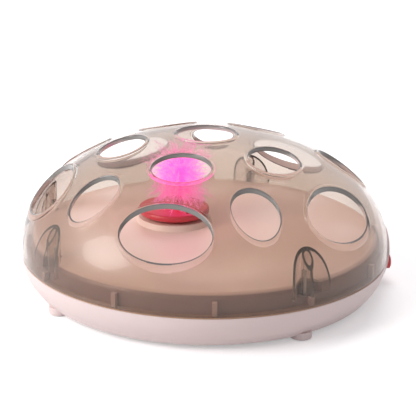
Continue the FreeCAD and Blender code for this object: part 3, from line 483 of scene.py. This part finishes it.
edge_ring = sorted({v for e in skirt_edges for v in e.verts},
                   key=lambda v: math.atan2(v.co.y, v.co.x))
profile = []
lean_start = math.asin(SHEET_EDGE / DOME_RADIUS)
for step in range(1, 8):
    lean = lean_start + (math.pi / 2 - lean_start) * step / 7
    profile.append((DOME_RADIUS * math.sin(lean), SKIRT_TOP + CROWN_HEIGHT * math.cos(lean)))
profile += [(DOME_RADIUS, SKIRT_TOP - 0.0025),
            (DOME_RADIUS, SKIRT_LOW + EDGE_ROUND),
            (DOME_RADIUS - EDGE_ROUND, SKIRT_LOW),
            (DOME_RADIUS - DOME_WALL + EDGE_ROUND, SKIRT_LOW),
            (DOME_RADIUS - DOME_WALL, SKIRT_LOW + EDGE_ROUND),
            (DOME_RADIUS - DOME_WALL, SKIRT_TOP - 0.0025)]
lean_start = math.asin(SHEET_EDGE / (DOME_RADIUS - DOME_WALL))
for step in range(4):
    lean = math.pi / 2 + (lean_start - math.pi / 2) * step / 4
    profile.append(((DOME_RADIUS - DOME_WALL) * math.sin(lean),
                    SKIRT_TOP + (CROWN_HEIGHT - DOME_WALL) * math.cos(lean)))
last_row = edge_ring
for reach, height in profile:
    row = [shell.verts.new((reach * v.co.x / SHEET_EDGE, reach * v.co.y / SHEET_EDGE, height))
           for v in edge_ring]
    for i in range(len(row)):
        after = (i + 1) % len(row)
        shell.faces.new((last_row[i], row[i], row[after], last_row[after])).smooth = True
    last_row = row
for i in range(len(last_row)):
    after = (i + 1) % len(last_row)
    shell.faces.new((last_row[i], partner[edge_ring[i]], partner[edge_ring[after]],
                     last_row[after])).smooth = True
bmesh.ops.recalc_face_normals(shell, faces=shell.faces)


def new_piece(name, mesh):
    """Object for a finished or a started mesh, at the origin."""
    piece = bpy.data.objects.new(name, mesh)
    bpy.context.scene.collection.objects.link(piece)
    return piece


def piece_from(name, made_mesh):
    """Object that takes over a mesh that was built point by point."""
    mesh = bpy.data.meshes.new(name)
    made_mesh.to_mesh(mesh)
    made_mesh.free()
    return new_piece(name, mesh)


def work_on(piece):
    """Select one piece alone and make it active."""
    bpy.ops.object.select_all(action="DESELECT")
    piece.select_set(True)
    bpy.context.view_layer.objects.active = piece


def carve(piece, tool, operation):
    """Cut or intersect a piece with a tool that is then thrown away."""
    work_on(piece)
    carving = piece.modifiers.new("carving", "BOOLEAN")
    carving.object = tool
    carving.operation = operation
    carving.solver = "EXACT"
    bpy.ops.object.modifier_apply(modifier="carving")
    bpy.data.objects.remove(tool)


def arch(name, half_width, foot, top, start, end):
    """Arch-shaped bar along X, for the pod and for its room in the dome."""
    outline = [(-half_width, foot)]
    for i in range(41):
        turn = math.pi - math.pi * i / 40
        outline.append((half_width * math.cos(turn),
                        top - half_width + half_width * math.sin(turn)))
    outline.append((half_width, foot))
    mesh = bpy.data.meshes.new(name)
    count = len(outline)
    corners = [(start, y, z) for y, z in outline] + [(end, y, z) for y, z in outline]
    sides = [tuple(range(count))[::-1], tuple(range(count, 2 * count))]
    sides += [(i, (i + 1) % count, count + (i + 1) % count, count + i) for i in range(count)]
    mesh.from_pydata(corners, [], sides)
    bar = new_piece(name, mesh)
    work_on(bar)
    bpy.ops.object.mode_set(mode="EDIT")
    bpy.ops.mesh.select_all(action="SELECT")
    bpy.ops.mesh.normals_make_consistent(inside=False)
    bpy.ops.object.mode_set(mode="OBJECT")
    return bar


POD_HALF_WIDTH = 0.0220
POD_FOOT, POD_TOP = 0.0080, 0.0390
POD_GAP = 0.00025
NOTCH_START, NOTCH_END = 0.1190, 0.1400
dome = piece_from("smoked_dome", shell)
carve(dome, arch("pod_arch", POD_HALF_WIDTH + POD_GAP, POD_FOOT - POD_GAP, POD_TOP + POD_GAP,
                 NOTCH_START, NOTCH_END), "DIFFERENCE")
bpy.ops.object.shade_smooth_by_angle(angle=math.radians(50))


def smoked(name, tint, slanting_tint, lamp_tint, coat):
    """Clear smoked plastic, glossy on both sides, darker where sight passes at a slant through more
    of it, that lets some of the lamps' light through."""
    material = bpy.data.materials.new(name)
    tree, output = nodes_of(material)
    glass = add_node(tree, "BsdfPrincipled", {"Roughness": 0.05, "IOR": 1.16,
                                              "Transmission Weight": 0.97,
                                              "Coat Weight": coat, "Coat Roughness": 0.34})
    slant = add_node(tree, "LayerWeight", {"Blend": 0.5})
    depth = ramp(tree, slant.outputs["Facing"], 0.45, 0.95)
    tree.links.new(blend_colours(tree, depth, tint, slanting_tint), glass.inputs["Base Color"])
    through = add_node(tree, "BsdfTransparent", {"Color": (*lamp_tint, 1)})
    lamp_light = either_ray(tree, ("Is Shadow Ray", "Is Diffuse Ray"))
    tree.links.new(choose_shader(tree, lamp_light, glass, through).outputs[0], output.inputs[0])
    return material


def cut_wall(name, outward, inward):
    """Cut wall of the smoked plastic: one tone where it faces out of the dome and another where it
    faces in, which where they differ are painted shade and painted light; clear from behind, so
    only its front shows."""
    material = plastic(name, outward, roughness=0.2, grain=0.02, coat=0.5)
    tree, shade, output, moulded = finish_of(material)
    side = add_node(tree, "NewGeometry")
    where = add_node(tree, "TexCoord")
    faces_out = add_node(tree, "VectorMath", operation="DOT_PRODUCT")
    tree.links.new(where.outputs["Object"], faces_out.inputs[0])
    tree.links.new(where.outputs["Normal"], faces_out.inputs[1])
    share_out = ramp(tree, faces_out.outputs["Value"], -0.02, 0.02)
    tree.links.new(blend_colours(tree, share_out, inward, moulded), shade.inputs["Base Color"])
    through = add_node(tree, "BsdfTransparent")
    shown = choose_shader(tree, side.outputs["Backfacing"], shade, through)
    tree.links.new(shown.outputs[0], output.inputs[0])
    return material


SMOKE = (0.69, 0.60, 0.53)
SMOKE_SLANTING = (0.52, 0.44, 0.42)
SMOKED_LIGHT = (0.76, 0.69, 0.64)
EDGE_GREY = (0.15, 0.14, 0.135)
dome.data.materials.append(smoked("smoked_clear", SMOKE, SMOKE_SLANTING, SMOKED_LIGHT, 0.6))
# Dark where the cut wall faces out of the dome, painted shade; pale where it faces in, painted
# light.
dome.data.materials.append(cut_wall("cut_edge_grey", (0.19, 0.18, 0.165), (0.55, 0.49, 0.46)))
dome.data.materials.append(cut_wall("edge_line_grey", EDGE_GREY, EDGE_GREY))
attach(dome, "housing")
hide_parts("dome")


# Screw posts: four sleeves moulded inside the dome, each with a boss for the screw from below and a
# thin web. They end at the dome's inner wall, so their top edge is a curve that shows dark.

POST_ANGLES = (70, 160, 210, 300)
POST_LOW = 0.0306
POST_SHEET = 0.0014
POST_STEPS = 6
SLEEVE_RING, SLEEVE_RADIUS = 0.1272, 0.0150
BOSS_RING, BOSS_RADIUS = 0.1155, 0.0030
WEB_START, WEB_LENGTH = 0.1190, 0.0030
posts = bmesh.new()


def wall_top(x, y):
    """Height of the dome's inner wall above x and y, less a hair."""
    wide = DOME_RADIUS - DOME_WALL
    share = 1 - (x * x + y * y) / wide ** 2
    return SKIRT_TOP - 0.0008 + (CROWN_HEIGHT - DOME_WALL) * math.sqrt(max(0.0, share))


def upright_sheet(path, thick):
    """Thin upright wall above a path on the floor plan, up to the dome."""
    rows = []
    for i, (x, y) in enumerate(path):
        ahead = path[min(i + 1, len(path) - 1)]
        behind = path[max(i - 1, 0)]
        along = Vector((ahead[0] - behind[0], ahead[1] - behind[1])).normalized()
        side = Vector((-along.y, along.x)) * thick / 2
        column = []
        for sign in (1, -1):
            px, py = x + sign * side.x, y + sign * side.y
            top = max(wall_top(px, py), POST_LOW + 0.0002)
            column.append([posts.verts.new((px, py,
                                            POST_LOW + (top - POST_LOW) * step / POST_STEPS))
                           for step in range(POST_STEPS + 1)])
        rows.append(column)
    for (left, right), (next_left, next_right) in zip(rows, rows[1:]):
        for low in range(POST_STEPS):
            posts.faces.new((left[low], next_left[low], next_left[low + 1], left[low + 1]))
            posts.faces.new((right[low], right[low + 1], next_right[low + 1], next_right[low]))
        posts.faces.new((left[0], right[0], next_right[0], next_left[0]))
        posts.faces.new((left[-1], next_left[-1], next_right[-1], right[-1])).material_index = 1
    for left, right in (rows[0], rows[-1]):
        for low in range(POST_STEPS):
            posts.faces.new((left[low], left[low + 1], right[low + 1], right[low]))


for post_angle in POST_ANGLES:
    facing = math.radians(post_angle)
    centre = Vector((math.cos(facing), math.sin(facing)))
    sleeve = []
    for i in range(49):
        turn = facing + math.pi + math.radians(-100 + 200 * i / 48)
        x = centre.x * SLEEVE_RING + SLEEVE_RADIUS * math.cos(turn)
        y = centre.y * SLEEVE_RING + SLEEVE_RADIUS * math.sin(turn)
        if math.hypot(x, y) < DOME_RADIUS - DOME_WALL - 0.0003:
            sleeve.append((x, y))
    upright_sheet(sleeve, POST_SHEET)
    upright_sheet([tuple(centre * (WEB_START + WEB_LENGTH * i / 4)) for i in range(5)], POST_SHEET)
    boss = [(centre.x * BOSS_RING + BOSS_RADIUS * math.cos(2 * math.pi * i / 24),
             centre.y * BOSS_RING + BOSS_RADIUS * math.sin(2 * math.pi * i / 24))
            for i in range(25)]
    upright_sheet(boss, POST_SHEET)
bmesh.ops.remove_doubles(posts, verts=posts.verts, dist=0.000001)
bmesh.ops.recalc_face_normals(posts, faces=posts.faces)
dome_posts = piece_from("dome_posts", posts)
dome_posts.data.materials.append(smoked("post_clear", (0.86, 0.82, 0.79), (0.70, 0.65, 0.62),
                                        (0.90, 0.88, 0.86), 0.3))
dome_posts.data.materials.append(plastic("post_rim_grey", (0.10, 0.095, 0.09), roughness=0.25,
                                         grain=0.02))
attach(dome_posts, "housing")


# Control pod: a moulded cream cover that closes the arch in the tub and the dome. Its face is
# bowed like the tub's side, and the push button comes out through a guide hole in it.

POD_FACE = [(0.1165, 0.0080), (0.1206, 0.0080), (0.1236, 0.0120), (0.1254, 0.0170),
            (0.1264, 0.0220), (0.1267, 0.0270), (0.1264, 0.0330), (0.1254, 0.0400),
            (0.1193, 0.0400), (0.1193, 0.0250), (0.1165, 0.0245)]
BUTTON_HEIGHT = 0.0130
GUIDE_RADIUS = 0.00525
RECESS_RADIUS, RECESS_END = 0.0068, 0.1234
POD_BACK, POD_FRONT, BORE_END = 0.1100, 0.1300, 0.1350
section = bpy.data.meshes.new("pod_cover")
section.from_pydata([(reach, 0, height) for reach, height in POD_FACE],
                    [(i, (i + 1) % len(POD_FACE)) for i in range(len(POD_FACE))], [])
pod = new_piece("pod_cover", section)


def rod(radius, start, end, height):
    """Round bar along X."""
    bpy.ops.mesh.primitive_cylinder_add(vertices=64, radius=radius, depth=end - start,
                                        location=((start + end) / 2, 0, height),
                                        rotation=(0, math.pi / 2, 0))
    return bpy.context.object


work_on(pod)
bpy.ops.object.mode_set(mode="EDIT")
bpy.ops.mesh.select_all(action="SELECT")
bpy.ops.mesh.spin(steps=300, angle=2 * math.pi, center=(0, 0, 0), axis=(0, 0, 1))
bpy.ops.mesh.select_all(action="SELECT")
bpy.ops.mesh.remove_doubles(threshold=0.00001)
bpy.ops.mesh.normals_make_consistent(inside=False)
bpy.ops.object.mode_set(mode="OBJECT")
carve(pod, arch("pod_outline", POD_HALF_WIDTH, POD_FOOT, POD_TOP, POD_BACK, POD_FRONT),
      "INTERSECT")
carve(pod, rod(GUIDE_RADIUS, POD_BACK, BORE_END, BUTTON_HEIGHT), "DIFFERENCE")
carve(pod, rod(RECESS_RADIUS, POD_BACK, RECESS_END, BUTTON_HEIGHT), "DIFFERENCE")
work_on(pod)
soften = pod.modifiers.new("soften", "BEVEL")
soften.width = 0.0007
soften.segments = 3
soften.limit_method = "ANGLE"
soften.angle_limit = math.radians(40)
bpy.ops.object.modifier_apply(modifier="soften")
bpy.ops.object.shade_smooth_by_angle(angle=math.radians(35))
pod.data.materials.append(plastic("pod_cream", TUB_CREAM))
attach(pod, "housing")
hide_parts("control_pod")


# Rotor disc: moulded red plastic with three sockets, of which two are spare. The wand is pressed
# into the third, and a ferrule holds the feather on the wand's end.

dress("rotor_disc", plastic("disc_red", (0.66, 0.05, 0.075), roughness=0.4, coat=0.15))
dress("feather_wand", plastic("wand_clear_pink", (0.75, 0.30, 0.50), roughness=0.3))
dress("wand_ferrule", plastic("ferrule_red", (0.60, 0.04, 0.10), roughness=0.35))


# Feather: a dyed marabou plume tied round the wand. Each barb is a thin curved shaft that carries
# soft side hairs. The barbs leave the middle in all directions, and some hang down to the disc.

BARBS, HANGING_BARBS = 450, 90
SHAFT_STEPS, SHAFT_WIDTH = 6, 0.00024
SIDE_HAIRS, SIDE_HAIR_WIDTH = 5, 0.00011
PLUME_DEEP, PLUME_PALE = (0.98, 0.045, 0.58, 1), (0.98, 0.38, 0.75, 1)
# The hairs glow in their own colour: a painted glow that stands in for light through the thin
# hairs.
PLUME_PAINTED_GLOW = 0.45
plume_low, plume_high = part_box("feather_plume")
plume_middle = (plume_low + plume_high) / 2
plume_reach = (plume_high - plume_low) / 2
disc_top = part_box("rotor_disc")[1].z
axle_x = (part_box("output_shaft")[0].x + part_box("output_shaft")[1].x) / 2
hair_random = random.Random(7)
feather = bmesh.new()
depth_layer = feather.verts.layers.float.new("out_share")


def keep_clear(point):
    """Hold a point over the disc and under the dome, wherever the rotor has turned it."""
    from_axle = math.hypot(point.x - axle_x, point.y)
    ceiling = wall_top(axle_x - from_axle, 0.0) - 0.0012
    point.z = max(disc_top + 0.001, min(ceiling, point.z))
    return point


def hair(start, direction, droop, length, width, steps, share_from, share_to):
    """Tapering three-sided hair that bends down along its way; returns its points."""
    points = []
    here, way = start.copy(), direction.normalized()
    for step in range(steps + 1):
        points.append(here.copy())
        way = (way + Vector((0, 0, -droop / steps))).normalized()
        here = keep_clear(here + way * (length / steps))
    rings = []
    for step, point in enumerate(points):
        along = (points[min(step + 1, steps)] - points[max(step - 1, 0)]).normalized()
        across = along.orthogonal().normalized()
        beside = along.cross(across)
        share = step / steps
        radius = width * (1 - 0.85 * share)
        ring = []
        for corner in range(3):
            turn = corner * 2.0944
            vertex = feather.verts.new(
                point + across * radius * math.cos(turn) + beside * radius * math.sin(turn))
            vertex[depth_layer] = share_from + (share_to - share_from) * share
            ring.append(vertex)
        rings.append(ring)
    for low_ring, high_ring in zip(rings, rings[1:]):
        for corner in range(3):
            after = (corner + 1) % 3
            feather.faces.new((low_ring[corner], low_ring[after],
                               high_ring[after], high_ring[corner]))
    return points


for barb in range(BARBS):
    hanging = barb >= BARBS - HANGING_BARBS
    lift = hair_random.uniform(-0.8, -0.3) if hanging else hair_random.uniform(-0.85, 1.0)
    turn = hair_random.uniform(0, 2 * math.pi)
    level = math.sqrt(max(0.0, 1 - lift * lift))
    way = Vector((level * math.cos(turn), level * math.sin(turn), lift))
    root = plume_middle + Vector((0, 0, hair_random.uniform(-0.35, 0.35) * plume_reach.z))
    reach = (plume_reach.x * level + plume_reach.z * abs(lift)) * hair_random.uniform(0.60, 0.95)
    droop = hair_random.uniform(0.0, 0.4)
    if hanging:
        root.z -= 0.4 * plume_reach.z
        reach = min(1.25 * reach, (root.z - disc_top - 0.002) / (droop - lift))
    shaft = hair(root, way, droop, reach, SHAFT_WIDTH, SHAFT_STEPS, 0.0, 1.0)
    for number in range(1, SHAFT_STEPS + 1):
        for _ in range(SIDE_HAIRS):
            aside = Vector([hair_random.gauss(0, 1) for _ in range(3)])
            bend = (way * 0.7 + aside.normalized() * 0.9).normalized()
            share = number / SHAFT_STEPS
            hair(shaft[number].lerp(shaft[max(number - 1, 0)], hair_random.random()), bend, 0.2,
                 reach * 0.26 * (1.15 - share * 0.7), SIDE_HAIR_WIDTH, 2, share,
                 min(1.0, share + 0.2))

fluff = piece_from("feather_fluff", feather)
dye = bpy.data.materials.new("dyed_feather")
tree, output = nodes_of(dye)
# Emission in the dye's colour is a painted glow.
strand = add_node(tree, "BsdfPrincipled", {"Roughness": 0.6, "Sheen Weight": 0.5,
                                           "Emission Strength": PLUME_PAINTED_GLOW})
share = tree.nodes.new("ShaderNodeAttribute")
share.attribute_name = "out_share"
shades = tree.nodes.new("ShaderNodeValToRGB")
shades.color_ramp.elements[0].color = PLUME_DEEP
shades.color_ramp.elements[1].color = PLUME_PALE
tree.links.new(share.outputs["Fac"], shades.inputs[0])
tree.links.new(shades.outputs[0], strand.inputs["Base Color"])
tree.links.new(shades.outputs[0], strand.inputs["Emission Color"])
tree.links.new(strand.outputs[0], output.inputs[0])
fluff.data.materials.append(dye)
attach(fluff, "rotor")
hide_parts("feather_plume")


# Drive: a small motor and a two-stage train of white nylon gears between two plates, with steel
# shafts and screws. It is under the tray and doesn't show from outside.

steel = plastic("bright_steel", (0.55, 0.55, 0.56), roughness=0.3)
finish_of(steel)[1].inputs["Metallic"].default_value = 1.0
nylon = plastic("white_nylon", (0.80, 0.79, 0.75), roughness=0.5)
for node in ("gearbox_screws", "idler_pin", "output_shaft", "motor_shaft", "drive_motor",
             "shaft_bush"):
    dress(node, steel)
for node in ("gearbox_frame", "gearbox_cover", "output_gear", "idler_gear", "motor_pinion"):
    dress(node, nylon)


# Electrics: green boards with black components, and grey-black cells between steel contacts behind
# a sliding door under the tub. Steel screws hold the board and close the housing.

dark = plastic("black_plastic", (0.03, 0.03, 0.035), roughness=0.45)
green = plastic("board_green", (0.03, 0.16, 0.07), roughness=0.35)
for node in ("board_components", "tact_switch", "battery_cells"):
    dress(node, dark)
for node in ("circuit_board", "switch_board"):
    dress(node, green)
for node in ("board_screws", "housing_screws", "battery_contacts"):
    dress(node, steel)
dress("battery_door", plastic("door_cream", (0.77, 0.66, 0.65)))
